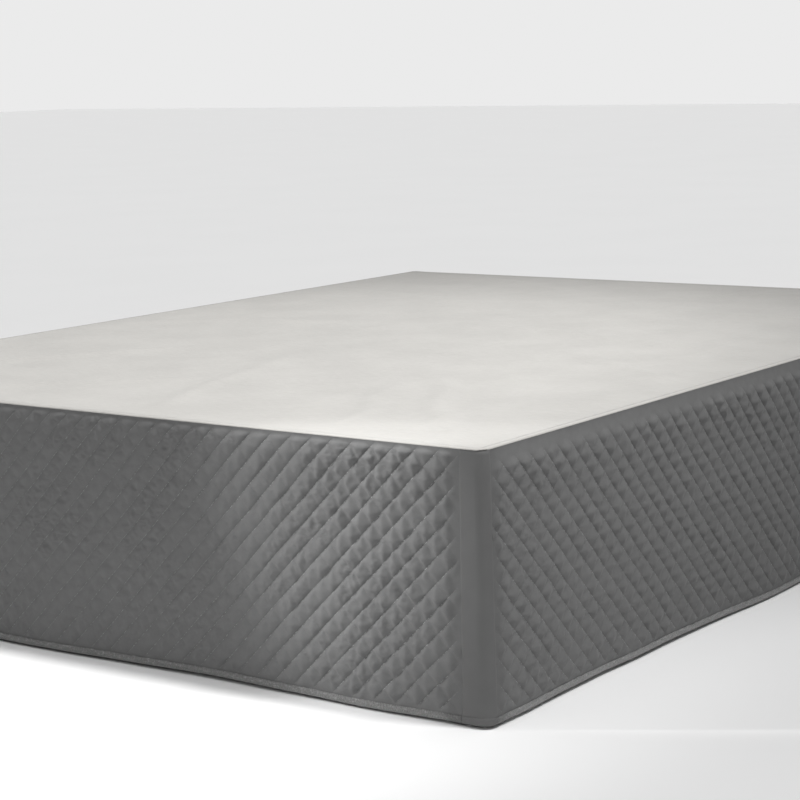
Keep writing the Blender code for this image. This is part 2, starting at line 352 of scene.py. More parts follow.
def weave(tree, vector, pitch):  # a plain weave: threads over and under in both directions
    scaled = stretched(tree, vector, (1 / pitch, 1 / pitch, 1 / pitch))
    parts = addNode(tree, "ShaderNodeSeparateXYZ", {0: scaled})
    across = calc(tree, "SINE", calc(tree, "MULTIPLY", parts.outputs["X"], math.pi))
    upward = calc(tree, "SINE", calc(tree, "MULTIPLY", parts.outputs["Y"], math.pi))
    return calc(tree, "MULTIPLY_ADD", calc(tree, "MULTIPLY", across, upward), 0.5, 0.5)


def finishShader(tree, shader, colour, shade, normal):
    tree.links.new(tinted(tree, colour, shade), shader.inputs["Base Color"])
    tree.links.new(normal, shader.inputs["Normal"])


def woven(tree, vector, values, normal=None):  # the relief of a plain weave
    threads = weave(tree, vector, values["weavePitch"])
    return bump(tree, threads, values["weaveLift"], normal, values["weaveStrength"])


quiltFinish = {  # sizes and patterns in diamonds, lifts and the weave in metres
    "colour": (0.130, 0.1305, 0.130),
    "roughness": 0.75,
    "sheen": 0.06,
    "seamPaintedShade": 0.03,  # painted shade: how much darker the cloth is painted in a seam
    "seamReach": 0.09,
    "stripPaintedShade": 0.17,  # painted shade: how much darker it is painted beside a corner strip
    "blotches": {"scale": 2.3, "detail": 3.0, "from": (0.25, 0.75), "to": (0.94, 1.05)},
    "grain": {"scale": 46.0, "roughness": 0.7, "from": (0.2, 0.8), "to": (0.93, 1.07)},
    "threadWidth": 0.026,
    "threadShine": 2.2,  # how much lighter a stitch is: lighter thread with a painted highlight
    "flecks": {"scale": 9.0, "from": (0.45, 0.62), "to": (0.10, 1.0)},  # painted highlights where stitches catch the light
    "softThread": 0.12,  # how much of that shows on the soft seams
    "stitchPitch": 0.125,
    "stitchEnds": (0.03, 0.14),
    "threadLift": 0.00035,
    "puckers": {"stretch": (3.2, 8.5, 1.0), "roughness": 0.6},
    "puckerPatches": {"scale": 0.9, "from": (0.42, 0.62)},
    "puckerReach": (0.30, 0.03),  # from a seam
    "puckerLift": 0.0017,
    "weavePitch": 0.00055,
    "weaveLift": 0.00005,
    "weaveStrength": 0.5,
}


def quiltedCloth():
    values = quiltFinish
    material, tree, shader = newMaterial("quiltedCloth", values)
    uv = clothPlace(tree)  # in diamonds
    quilted, byStrip = attribute(tree, "quiltShare"), attribute(tree, "stripShare")
    crispFalling = attribute(tree, "crispFalling")
    parts = addNode(tree, "ShaderNodeSeparateXYZ", {0: uv})
    rising = calc(tree, "SUBTRACT", parts.outputs["X"], parts.outputs["Y"])
    falling = calc(tree, "ADD", parts.outputs["X"], parts.outputs["Y"])
    toRising, toFalling = calc(tree, "PINGPONG", rising, 0.5), calc(tree, "PINGPONG", falling, 0.5)
    toSeam = calc(tree, "MINIMUM", toRising, toFalling)
    soft = values["softThread"]
    lines = []
    for toLine, along, shows in ((toRising, falling, (1.0, soft)), (toFalling, rising, (soft, 1.0))):
        onLine = between(tree, toLine, values["threadWidth"], 0.0)
        stitch = dashes(tree, along, values["stitchPitch"], values["stitchEnds"])
        stitch = calc(tree, "MULTIPLY", onLine, stitch)
        lines.append(calc(tree, "MULTIPLY", stitch, between(tree, crispFalling, 0.0, 1.0, *shows)))
    thread = calc(tree, "MULTIPLY", calc(tree, "MAXIMUM", *lines), quilted)
    # painted shade in the seams
    inSeam = calc(tree, "MULTIPLY", between(tree, toSeam, values["seamReach"], 0.0), quilted)
    shade = calc(tree, "MULTIPLY_ADD", inSeam, -values["seamPaintedShade"], 1.0)
    # painted shade beside the corner strips
    shade = calc(tree, "MULTIPLY_ADD", byStrip, -values["stripPaintedShade"], shade)
    # lighter thread, with painted highlights on the stitches
    lit = calc(tree, "MULTIPLY", thread, mottle(tree, uv, values["flecks"]))
    shade = calc(tree, "MULTIPLY_ADD", lit, values["threadShine"], shade)
    uneven = calc(tree, "MULTIPLY", mottle(tree, uv, values["blotches"]), mottle(tree, uv, values["grain"]))
    nearSeam = calc(tree, "MULTIPLY", between(tree, toSeam, *values["puckerReach"]), quilted)
    nearSeam = calc(tree, "MULTIPLY", nearSeam, mottle(tree, uv, values["puckerPatches"]))
    puckers = calc(tree, "MULTIPLY", noise(tree, uv, values["puckers"]), nearSeam)
    normal = bump(tree, puckers, values["puckerLift"])
    normal = bump(tree, thread, values["threadLift"], normal)
    inMetres = stretched(tree, uv, (quilt["diamond"], quilt["diamond"], 1.0))
    normal = woven(tree, inMetres, values, normal)
    finishShader(tree, shader, values["colour"], calc(tree, "MULTIPLY", uneven, shade), normal)
    return material


plainFinish = {
    # a darker copy of the quilt's own cloth: painted shade for the corner strips and their binding
    "colour": (0.108, 0.108, 0.1075),
    "roughness": 0.75,
    "sheen": 0.06,
    "blotches": {"scale": 30.0, "detail": 3.0, "from": (0.25, 0.75), "to": (0.97, 1.03)},
    "grain": {"scale": 1300.0, "roughness": 0.7, "from": (0.2, 0.8), "to": (0.95, 1.05)},
    "weavePitch": 0.00055,
    "weaveLift": 0.00005,
    "weaveStrength": 0.5,
}


def plainCloth():
    values = plainFinish
    material, tree, shader = newMaterial("plainCloth", values)
    uv = clothPlace(tree)  # in metres
    shade = calc(tree, "MULTIPLY", mottle(tree, uv, values["blotches"]), mottle(tree, uv, values["grain"]))
    finishShader(tree, shader, values["colour"], shade, woven(tree, uv, values))
    return material


tapeFinish = {
    "colour": (0.165, 0.165, 0.163),
    "roughness": 0.85,
    "sheen": 0.3,
    "stitchPitch": 0.0026,
    "wander": {"scale": 160.0},
    "wanderReach": 0.0016,
    "strandEdges": (0.05, 0.42),
    "strandShades": (0.86, 1.06),
    "strandLift": 0.0004,
    "fuzz": {"stretch": (700.0, 300.0, 1.0), "detail": 3.0, "roughness": 0.75},
    "fuzzShades": (0.3, 0.7, 0.72, 1.50),
    "fuzzLift": 0.0009,
    "tufts": {"stretch": (170.0, 240.0, 1.0), "from": (0.52, 0.68)},
    "tuftShine": 0.5,
    "cornerPaintedShade": 0.60,  # painted shade: how dark it is painted where it meets a corner strip
}


def bindingTape():
    values = tapeFinish
    material, tree, shader = newMaterial("bindingTape", values)
    uv = clothPlace(tree)  # in metres
    parts = addNode(tree, "ShaderNodeSeparateXYZ", {0: uv})
    wander = noise(tree, uv, values["wander"])
    along = calc(tree, "MULTIPLY_ADD", wander, values["wanderReach"], parts.outputs["X"])
    strands = dashes(tree, along, values["stitchPitch"], values["strandEdges"])
    fuzz = noise(tree, uv, values["fuzz"])
    shade = between(tree, strands, 0.0, 1.0, *values["strandShades"])
    shade = calc(tree, "MULTIPLY", shade, between(tree, fuzz, *values["fuzzShades"]))
    shade = calc(tree, "MULTIPLY_ADD", mottle(tree, uv, values["tufts"]), values["tuftShine"], shade)
    # painted shade towards the corner strips
    byCorner = between(tree, attribute(tree, "cornerShare"), 0.0, 1.0, 1.0, values["cornerPaintedShade"])
    normal = bump(tree, strands, values["strandLift"])
    normal = bump(tree, fuzz, values["fuzzLift"], normal)
    finishShader(tree, shader, values["colour"], calc(tree, "MULTIPLY", shade, byCorner), normal)
    return material


deckFinish = {
    "colour": (0.43, 0.42, 0.40),
    "roughness": 0.85,
    "sheen": 0.15,
    "blotches": {"scale": 7.0, "detail": 4.0, "from": (0.25, 0.75), "to": (0.95, 1.03)},
    "slubs": {"stretch": (60.0, 900.0, 1.0), "from": (0.3, 0.7), "to": (0.94, 1.04)},
    "skirtSeamInset": 0.0085,  # the stitching's way in from the skirt's seam
    "headSeamInset": 0.0195,
    "seamWidth": 0.0025,
    "seamPaintedShade": 0.22,
    "seamDepth": 0.0010,
    "stitchPitch": 0.0034,
    "stitchEnds": (0.08, 0.2),
    "stitchEdge": (0.0007, 0.0003),
    "stitchShine": 0.25,
    "stitchLift": 0.0005,
    "packingWidth": 0.38,  # between the creases left by its packing
    "packingLength": 0.46,
    "packingShift": 20.5,  # in creases, so that none lies in the middle
    "packingReach": 0.011,
    "packingPatches": {"scale": 3.0, "from": (0.3, 0.6)},
    "packingPaintedShade": 0.010,
    "packingLift": 0.0005,
    "crumples": {"stretch": (9.0, 14.0, 1.0), "detail": 5.0, "roughness": 0.62},
    "crumpleLift": 0.010,
    "crumpleStrength": 0.5,
    "weavePitch": 0.0009,
    "weaveLift": 0.0001,
    "weaveStrength": 0.6,
}


def deckCloth():
    values = deckFinish
    material, tree, shader = newMaterial("deckCloth", values)
    uv = clothPlace(tree)  # in metres
    parts = addNode(tree, "ShaderNodeSeparateXYZ", {0: uv})
    shade = calc(tree, "MULTIPLY", mottle(tree, uv, values["blotches"]), mottle(tree, uv, values["slubs"]))
    lines = []
    for edge, inset in (("toSkirt", values["skirtSeamInset"]), ("toHead", values["headSeamInset"])):
        lines.append(calc(tree, "ABSOLUTE", calc(tree, "SUBTRACT", attribute(tree, edge), inset)))
    off = calc(tree, "MINIMUM", *lines)
    sunk = between(tree, off, values["seamWidth"], 0.0)
    both = calc(tree, "ADD", parts.outputs["X"], parts.outputs["Y"])
    stitch = dashes(tree, both, values["stitchPitch"], values["stitchEnds"])
    stitch = calc(tree, "MULTIPLY", between(tree, off, *values["stitchEdge"]), stitch)
    # painted shade in the sunk seam, then lighter stitches
    shade = calc(tree, "MULTIPLY_ADD", sunk, -values["seamPaintedShade"], shade)
    shade = calc(tree, "MULTIPLY_ADD", stitch, values["stitchShine"], shade)
    folded = []
    for axis, period in (("X", values["packingWidth"]), ("Y", values["packingLength"])):
        moved = calc(tree, "ADD", parts.outputs[axis], period * values["packingShift"])
        line = calc(tree, "PINGPONG", moved, period / 2)
        folded.append(between(tree, line, values["packingReach"], 0.0))
    packing = calc(tree, "MAXIMUM", *folded)
    packing = calc(tree, "MULTIPLY", packing, mottle(tree, uv, values["packingPatches"]))
    # painted shade in the packing creases, which also get a bump
    shade = calc(tree, "MULTIPLY_ADD", packing, -values["packingPaintedShade"], shade)
    normal = bump(tree, packing, values["packingLift"])
    normal = bump(tree, sunk, -values["seamDepth"], normal)
    normal = bump(tree, stitch, values["stitchLift"], normal)
    crumples = noise(tree, uv, values["crumples"])
    normal = bump(tree, crumples, values["crumpleLift"], normal, values["crumpleStrength"])
    finishShader(tree, shader, values["colour"], shade, woven(tree, uv, values, normal))
    return material


baseFinish = {
    "colour": (0.44, 0.40, 0.35),
    "roughness": 0.9,
    "sheen": 0.2,
    "patternTurn": 45.0,  # degrees, so that one weave suits the ends and the sides
    "lyingEdges": (0.6, 0.8),  # how far up a face looks that has the top's weave
    "slubs": {"stretch": (240.0, 240.0, 60.0), "detail": 3.0, "from": (0.3, 0.7), "to": (0.86, 1.1)},
    "borderInset": 0.030,  # of the seam under the top edge and over the bottom edge
    "seamWidth": 0.0016,
    "seamPaintedShade": 0.35,
    "seamDepth": 0.0020,
    "stitchPitch": 0.0045,
    "stitchEnds": (0.08, 0.2),
    "stitchEdge": (0.0007, 0.0003),
    "stitchAside": 0.0040,  # from the seam
    "stitchShine": 0.16,
    "stitchLift": 0.0006,
    "underside": 0.12,  # how light the dust cover under the base is beside the rest
    "undersideEdge": (0.0008, 0.0002),
    "weavePitch": 0.0024,
    "weaveShades": (0.84, 1.06),
    "weaveLift": 0.0003,
}


def baseCloth():
    values = baseFinish
    material, tree, shader = newMaterial("baseCloth", values)
    spot = addNode(tree, "ShaderNodeTexCoord").outputs["Object"]
    height = addNode(tree, "ShaderNodeSeparateXYZ", {0: spot}).outputs["Z"]
    facing = addNode(tree, "ShaderNodeNewGeometry").outputs["Normal"]
    level = calc(tree, "ABSOLUTE", addNode(tree, "ShaderNodeSeparateXYZ", {0: facing}).outputs["Z"])
    turn = (0.0, 0.0, math.radians(values["patternTurn"]))
    turned = addNode(tree, "ShaderNodeMapping", {"Vector": spot, "Rotation": turn}).outputs["Vector"]
    parts = addNode(tree, "ShaderNodeSeparateXYZ", {0: turned})
    upright = addNode(tree, "ShaderNodeCombineXYZ", {"X": parts.outputs["X"], "Y": parts.outputs["Z"]})
    onSides = weave(tree, upright.outputs["Vector"], values["weavePitch"])
    onTop = weave(tree, spot, values["weavePitch"])
    lying = between(tree, level, *values["lyingEdges"])
    threads = addNode(tree, "ShaderNodeMix", {"Factor": lying, "A": onSides, "B": onTop}).outputs["Result"]
    shade = between(tree, threads, 0.0, 1.0, *values["weaveShades"])
    shade = calc(tree, "MULTIPLY", shade, mottle(tree, spot, values["slubs"]))
    seams = []
    for seam in (baseHigh.z - values["borderInset"], baseLow.z + values["borderInset"]):
        seams.append(calc(tree, "ABSOLUTE", calc(tree, "SUBTRACT", height, seam)))
    off = calc(tree, "MINIMUM", *seams)
    sunk = between(tree, off, values["seamWidth"], 0.0)
    aside = calc(tree, "ABSOLUTE", calc(tree, "SUBTRACT", off, values["stitchAside"]))
    stitch = dashes(tree, parts.outputs["X"], values["stitchPitch"], values["stitchEnds"])
    stitch = calc(tree, "MULTIPLY", between(tree, aside, *values["stitchEdge"]), stitch)
    shade = calc(tree, "MULTIPLY_ADD", stitch, values["stitchShine"], shade)
    # painted shade in the sunk seams
    shade = calc(tree, "MULTIPLY_ADD", sunk, -values["seamPaintedShade"], shade)
    under = between(tree, height, *(baseLow.z + edge for edge in values["undersideEdge"]))
    shade = calc(tree, "MULTIPLY", shade, between(tree, under, 0.0, 1.0, 1.0, values["underside"]))
    normal = bump(tree, sunk, -values["seamDepth"])
    normal = bump(tree, stitch, values["stitchLift"], normal)
    finishShader(tree, shader, values["colour"], shade, bump(tree, threads, values["weaveLift"], normal))
    return material


woodFinish = {
    "dark": (0.030, 0.017, 0.010),
    "light": (0.085, 0.050, 0.030),
    "roughness": 0.38,
    "grain": {"stretch": (160.0, 160.0, 9.0), "detail": 4.0, "roughness": 0.6},
    "grainFrom": 0.35,
    "grainTo": 0.65,
    "grainLift": 0.0002,
}


def footWood():
    values = woodFinish
    material, tree, shader = newMaterial("footWood", values)
    spot = addNode(tree, "ShaderNodeTexCoord").outputs["Object"]
    grain = noise(tree, spot, values["grain"])
    ramp = addNode(tree, "ShaderNodeValToRGB", {"Fac": grain})
    low, high = ramp.color_ramp.elements
    low.position, high.position = values["grainFrom"], values["grainTo"]
    low.color = (*values["dark"], 1)
    high.color = (*values["light"], 1)
    tree.links.new(ramp.outputs["Color"], shader.inputs["Base Color"])
    tree.links.new(bump(tree, grain, values["grainLift"]), shader.inputs["Normal"])
    return material


quilt = {
    "diamond": 0.0371,  # a diamond's height
    "puffHeight": 0.0045,
    "puffPower": 1.45,  # 1 is a straight-sided pyramid, 2 a round arch
    "softness": 0.7,  # how round the valley of a soft seam is
    "ridgeSharpness": 7.0,  # how crisply a puff's four faces meet
    "leastPuff": 0.0001,  # beside a whole one, so that a seam isn't zero
    "unevenPuffs": 0.25,
    "topShift": 0.15,  # how far a puff's top may lie off its middle
    "chanceTable": (211, 223),  # one random value for each diamond
    "chanceShift": 50,
    "cornerWander": 0.06,  # how unevenly the seams change towards the ends
    "cornerWanderSize": 0.11,
    "seamWander": 0.0009,
    "seamWanderSize": 0.045,
    "creaseLift": 0.00144,
    "creaseSize": 0.0095,
    "creaseThinness": 2.2,
    "creaseSlant": 0.4,
    "creaseSquash": 1.5,
    "crumple": 0.5,  # how much coarser crumpling is mixed in
    "crumpleSquash": (1.7, 1.3),
    "creaseGrowth": 1.5,  # how soon the creases set in up a puff
    "patchSize": 0.07,  # of the patches that are creased
    "patchEdges": (-0.3, 0.5),
    "swellLift": 0.0004,
    "swellSize": 0.025,
    "aboveBinding": 0.0015,
    "bindingHeight": 0.011,
    "bottomFade": (-0.002, 0.009),  # where the quilting sets in over its lower edge
    "endFade": -0.002,  # and at the ends
    "raggedReach": 0.006,  # how unevenly it sets in there
    "raggedSize": 0.021,
    "dipFade": 0.01,  # over the binding, where the sewn edges begin to turn in
    "stripReach": 0.030,  # of the painted shade beside a corner strip
    "backStep": 4,  # columns and rows of the front for one behind
    "seeds": {"wanderAlong": 1, "wanderUp": 2, "creases": 20, "crumples": 21, "swells": 30, "patches": 40,
              "corner": 50, "ends": 60},
}

sideGrid = {
    "cells": 6,  # across half a diamond
    "latticeFrom": 0.02685,  # from the base's end
    "topFade": (0.3640, 0.3830),  # where the quilting fades out under the heading
    "endFades": (0.012, 0.006),  # how far it takes to set in at the start and at the end
    "softSeams": "rising",
    "softDepth": (0.90, 0.90),  # how deep they are beside the crisp ones, in the middle and near the ends
    "softNear": (0.35, 0.60),  # from the middle, where that changes
    "height": (1.15, 1.02),  # how high the puffs are, in the middle and near the ends
    "heightNear": (0.45, 0.75),
    "creased": -0.1,  # a higher value creases more of the panel
}
footGrid = {
    "cells": 7,
    "latticeFrom": 0.03885,
    "topFade": (0.3870, 0.3960),
    "endFades": (0.020, 0.020),
    "softSeams": "falling",
    "softDepth": (0.55, 0.92),
    "softNear": (0.35, 0.60),
    "height": (0.75, 1.28),
    "heightNear": (0.13 * halfWidth, 0.86 * halfWidth),
    "creased": 0.25,
}
panelGrids = {
    "foot": {**footGrid, "seed": 11},
    "left": {**sideGrid, "seed": 12},
    "right": {**sideGrid, "seed": 13},
}


def puffShape(toSeam):  # toSeam runs from 0 at a seam to 1 at the middle
    return 1 - (1 - toSeam) ** quilt["puffPower"]


def softPuffShape(toSeam):
    return puffShape(toSeam) * (1 - quilt["softness"]) + smoothStep(0, 1, toSeam) * quilt["softness"]


def puffsAt(grid, rising, falling, depth):  # one puff for each diamond, with its own height
    rows, columns = quilt["chanceTable"]
    chance = np.random.RandomState(grid["seed"]).uniform(-1, 1, (rows, columns))
    hair = 1e-6  # so that a point on a seam falls into one diamond
    cellRising, cellFalling = np.floor(rising + hair).astype(int), np.floor(falling + hair).astype(int)

    def ownValue(shiftRising, shiftFalling):
        return chance[(cellRising + shiftRising) % rows, (cellFalling + shiftFalling) % columns]

    def toSeam(line, cell, ownShift):
        top = 0.5 + quilt["topShift"] * ownShift
        inCell = line - cell
        return np.clip(np.minimum(inCell / top, (1 - inCell) / (1 - top)), quilt["leastPuff"], 1)

    shift = quilt["chanceShift"]
    toRising = toSeam(rising, cellRising, ownValue(shift, 0))
    toFalling = toSeam(falling, cellFalling, ownValue(0, shift))
    toSoft, toCrisp = (toFalling, toRising) if grid["softSeams"] == "falling" else (toRising, toFalling)
    soft = softPuffShape(toSoft) * depth + 1 - depth
    sharp = quilt["ridgeSharpness"]
    puff = (puffShape(toCrisp) ** -sharp + soft ** -sharp) ** (-1 / sharp) * 2 ** (1 / sharp)
    return np.clip(puff, 0, 1) * (1 + quilt["unevenPuffs"] * ownValue(0, 0))


def steps(start, end, first, step):  # places from start to end that all lie on a grid, and the two ends
    nearest = 0.3  # of a step, to an end
    low = math.ceil((start - first) / step + nearest)
    high = math.floor((end - first) / step - nearest)
    numbers = np.arange(low, high + 1)
    return np.concatenate([[start], first + numbers * step, [end]]), numbers


def quiltedPanel(name, side, finish, node):
    grid = panelGrids[side]
    start, end = sideEnds[side]
    onFoot = side == "foot"
    quiltStart = start + skirt["seamMargin"]
    quiltEnd = end - (skirt["seamMargin"] if onFoot else skirt["headHem"])
    latticeStart = grid["latticeFrom"] - (halfWidth if onFoot else halfLength)
    latticeEnd = -latticeStart if onFoot else quiltEnd
    half = quilt["diamond"] / 2
    across = (latticeEnd - latticeStart) / round((latticeEnd - latticeStart) / half) / grid["cells"]
    upward = half / grid["cells"]
    quiltBottom = skirt["hemHeight"] + quilt["bindingHeight"] + quilt["aboveBinding"]
    alongs, columnNumbers = steps(start, end, latticeStart, across)
    heights, rowNumbers = steps(clothBottom, clothTop, quiltBottom, upward)
    perDiamond = 2 * grid["cells"]
    gridX, gridZ = (alongs - latticeStart) / across, (heights - quiltBottom) / upward  # in cells
    column, row = np.meshgrid(gridX, gridZ)
    rising, falling = (column - row) / perDiamond, (column + row) / perDiamond
    along, height = np.meshgrid(alongs, heights)

    def rough(kind, size, x=along, z=height):
        return softNoise(x, z, size, grid["seed"] + quilt["seeds"][kind])

    fromMiddle = np.abs(along)
    uneven = quilt["cornerWander"] * rough("corner", quilt["cornerWanderSize"])
    depth = blend(grid["softDepth"], smoothStep(*grid["softNear"], fromMiddle + uneven))
    puff = puffsAt(grid, rising, falling, depth)
    puff = puff * blend(grid["height"], smoothStep(*grid["heightNear"], fromMiddle))

    # how far the cloth is quilted: not at the binding, under the heading or at the ends
    fadeLow, fadeHigh = quilt["bottomFade"]
    share = smoothStep(quiltBottom + fadeLow, quiltBottom + fadeHigh, height)
    share *= 1 - smoothStep(*grid["topFade"], height)
    ragged = quilt["raggedReach"] * rough("ends", quilt["raggedSize"])
    fromStart, fromEnd = along - quiltStart + ragged, quiltEnd - along + ragged
    startFade, endFade = grid["endFades"]
    fadeLow = quilt["endFade"]
    share *= smoothStep(fadeLow, startFade, fromStart) * smoothStep(fadeLow, endFade, fromEnd)

    # creases with thin crests, in patches, on soft swells
    patches = smoothStep(*quilt["patchEdges"], rough("patches", quilt["patchSize"]) + grid["creased"])
    slanted = along + quilt["creaseSlant"] * height
    crests = rough("creases", quilt["creaseSize"], slanted, height * quilt["creaseSquash"])
    squashAlong, squashUp = quilt["crumpleSquash"]
    creases = 1 - quilt["creaseThinness"] * np.abs(crests)
    crumples = rough("crumples", quilt["creaseSize"], along * squashAlong, height * squashUp)
    creases += quilt["crumple"] * crumples
    creases = creases * patches * np.clip(puff * quilt["creaseGrowth"], 0, 1)
    swells = rough("swells", quilt["swellSize"])
    out = quilt["puffHeight"] * puff + quilt["creaseLift"] * creases + quilt["swellLift"] * swells
    out = skirt["thickness"] + share * out
    toSeam = np.minimum(along - start, end - along) if onFoot else along - start
    seam = 1 - smoothStep(0, skirt["seamWidth"], toSeam)
    out = out - skirt["seamDip"] * seam * smoothStep(quiltBottom, quiltBottom + quilt["dipFade"], height)

    # the whole lattice wanders a little, seams and all
    wander = quilt["seamWander"] * share
    movedAlong = along + wander * rough("wanderAlong", quilt["seamWanderSize"])
    movedHeight = height + wander * rough("wanderUp", quilt["seamWanderSize"])
    front = place(side, movedAlong, movedHeight, out)
    backStep = quilt["backStep"]
    backAlong, backHeight = np.meshgrid(thinned(alongs, backStep), thinned(heights, backStep))
    back = place(side, backAlong, backHeight, np.zeros_like(backAlong))

    gridRow = np.concatenate([[rowNumbers[0] - 1], rowNumbers])[:, None]
    gridColumn = np.concatenate([[columnNumbers[0] - 1], columnNumbers])[None, :]
    splitUp = (gridColumn - gridRow) % perDiamond == 0
    splitDown = (gridColumn + gridRow + 1) % perDiamond == 0
    uvFront = np.stack([(rising + falling) / 2, (falling - rising) / 2], -1)
    diamonds = perDiamond * across
    uvBack = np.stack([(backAlong - latticeStart) / diamonds, (backHeight - quiltBottom) / diamonds], -1)
    made = sheetMesh(name, front, back, uvFront, uvBack, splitUp, splitDown)
    pointValues(made, "quiltShare", share)
    # where the painted shade beside a corner strip falls
    toStrip = np.minimum(fromStart, fromEnd) if onFoot else fromStart
    pointValues(made, "stripShare", 1 - smoothStep(0.0, quilt["stripReach"], toStrip))
    crispFalling = grid["softSeams"] == "rising"
    pointValues(made, "crispFalling", np.full(share.shape, crispFalling), crispFalling)
    if crispFalling:
        markSeams(made, len(alongs), splitDown, -1)
    else:
        markSeams(made, len(alongs), splitUp, 1)
    return finishPiece(made, finish, "quilted_cloth", node)


def markSeams(made, columns, split, lean):  # sharp edges in the crisp seams: rising is 1 and falling -1
    mesh = made.data
    ends = np.empty(len(mesh.edges) * 2, np.int32)
    mesh.edges.foreach_get("vertices", ends)
    ends = np.sort(ends.reshape(-1, 2), axis=1)
    row, column = ends // columns, ends % columns
    inFront = (row[:, 1] <= split.shape[0]) & (row[:, 1] - row[:, 0] == 1)
    lowRow = np.clip(row[:, 0], 0, split.shape[0] - 1)
    lowColumn = np.clip(column.min(axis=1), 0, columns - 2)
    onSeam = (column[:, 1] - column[:, 0] == lean) & split[lowRow, lowColumn]
    layer = mesh.attributes.new("sharp_edge", "BOOLEAN", "EDGE")
    layer.data.foreach_set("value", inFront & onSeam)


strip = {
    "columnStep": 0.0022,
    "leastSteps": 2,
    "leastTurns": 6,  # steps round the corner itself
    "rowStep": 0.006,
    "softness": 0.0005,  # small swells
    "softSize": 0.05,
    "softSquash": 2.0,
    "softFrom": 0.01,  # how far from the seams they are whole
    "seed": 70,
    "backColumns": 3,  # columns and rows of the front for one behind
    "backRows": 4,
}


def cornerRoute():  # plan line of a corner strip: places on the base's outline, directions out, lengths
    step, radius = strip["columnStep"], skirt["cornerRadius"]
    centreX, centreY = halfWidth - radius, radius - halfLength
    startX, endY = seamOnFoot, -seamOnSide
    places, outs = [], []
    straight = max(strip["leastSteps"], round((centreX - startX) / step))
    for k in range(straight):
        places.append((startX + (centreX - startX) * k / straight, -halfLength))
        outs.append((0.0, -1.0))
    turns = max(strip["leastTurns"], round(radius * math.pi / 2 / step) * 2)
    for k in range(turns + 1):
        angle = math.pi / 2 * (k / turns - 1)
        outs.append((math.cos(angle), math.sin(angle)))
        places.append((centreX + radius * outs[-1][0], centreY + radius * outs[-1][1]))
    straight = max(strip["leastSteps"], round((endY - centreY) / step))
    for k in range(1, straight + 1):
        places.append((halfWidth, centreY + (endY - centreY) * k / straight))
        outs.append((1.0, 0.0))
    places, outs = np.array(places), np.array(outs)
    standOff = skirt["clearance"] + skirt["flare"] / 2
    outer = places + outs * standOff
    lengths = np.concatenate([[0.0], np.cumsum(np.linalg.norm(np.diff(outer, axis=0), axis=1))])
    return places, outs, lengths


def onCorner(hand, spots, outs, height, out):  # points of a corner, out from the cloth's inner face
    off = skirt["clearance"] + skirt["flare"] * flareAt(height) + out
    x = middle.x + hand * (spots[..., 0] + off * outs[..., 0])
    return np.stack([x, middle.y + spots[..., 1] + off * outs[..., 1], height], -1)


def cornerStrip(name, hand, finish, node):
    places, outs, lengths = cornerRoute()
    rows = round((clothTop - clothBottom) / strip["rowStep"])
    heights = np.linspace(clothBottom, clothTop, rows + 1)

    def face(out, chosenRows, chosenColumns):
        height = chosenRows[:, None] + 0 * chosenColumns[None, :]
        out = out - leanAt(height)
        return onCorner(hand, places[chosenColumns], outs[chosenColumns], height, out), height

    everyColumn = np.arange(len(places))
    around, height = np.meshgrid(lengths, heights)
    toEdge = np.minimum(around, lengths[-1] - around)
    dip = skirt["seamDip"] * (1 - smoothStep(0, skirt["seamWidth"], toEdge))
    soft = softNoise(around * strip["softSquash"], height, strip["softSize"], strip["seed"] + hand)
    soft = strip["softness"] * soft * smoothStep(0, strip["softFrom"], toEdge)
    front, _ = face(skirt["thickness"] - dip + soft, heights, everyColumn)
    fewColumns = thinned(everyColumn, strip["backColumns"])
    back, backHeight = face(0.0, thinned(heights, strip["backRows"]), fewColumns)
    uvFront = np.stack([around, height], -1)
    uvBack = np.stack([lengths[fewColumns][None, :] + 0 * backHeight, backHeight], -1)
    made = sheetMesh(name, front, back, uvFront, uvBack)
    return finishPiece(made, finish, "plain_cloth", node)


tape = {
    "height": 0.0112,
    "straight": (0.0008, 0.0009),  # its thickness, and how far the front leaf swells
    "corner": (0.0004, 0.0002),  # pressed flat round the corners
    "turnSteps": 8,  # round the hem
    "leafSteps": 5,
    "swellFrom": 0.05,
    "swellPower": 0.8,
    "ringStep": 0.003,
    "flatReach": 0.022,  # from a corner to where it has its full thickness
    "cornerReach": 0.055,  # and its full colour, past the painted shade near the corner
    "wobble": 0.0005,  # unevenness of its upper edge
    "wobbleSize": 0.006,
    "wobbleFrom": 0.8,  # of the way round to that edge
    "ripple": 0.0004,  # and of its front leaf
    "rippleSize": 0.010,
    "rippleFrom": 0.6,
    "seeds": {"foot": 50, "left": 51, "right": 52, "corner_left": 59, "corner_right": 61},
}


def tapeLine(thick, bulge):  # the tape's middle line in section, from the rear leaf round to the front one
    gap = skirt["pieceGap"]
    low = skirt["hemHeight"]
    high = low + tape["height"]
    rear, front = -gap - thick / 2, skirt["thickness"] + gap + thick / 2
    radius = (front - rear) / 2
    turn = low + thick / 2 + radius  # the height where the fold round the hem begins
    line = [(rear, high), (rear, (low + high) / 2), (rear, turn)]
    for k in range(1, tape["turnSteps"]):
        angle = math.pi * k / tape["turnSteps"]
        line.append((rear + radius - radius * math.cos(angle), turn - radius * math.sin(angle)))
    for k in range(tape["leafSteps"] + 1):
        share = k / tape["leafSteps"]
        inSwell = min(1.0, share * (1 - tape["swellFrom"]) + tape["swellFrom"])
        swell = bulge * math.sin(math.pi * inSwell) ** tape["swellPower"]
        line.append((front + swell, turn + (high - turn) * share))
    return np.array(line)


def tapeSection(thick, bulge):
    line = tapeLine(thick, bulge)
    along = np.gradient(line, axis=0)
    along /= np.linalg.norm(along, axis=1)[:, None]
    normals = np.stack([along[:, 1], -along[:, 0]], -1)
    return np.concatenate([line + normals * thick / 2, (line - normals * thick / 2)[::-1]])


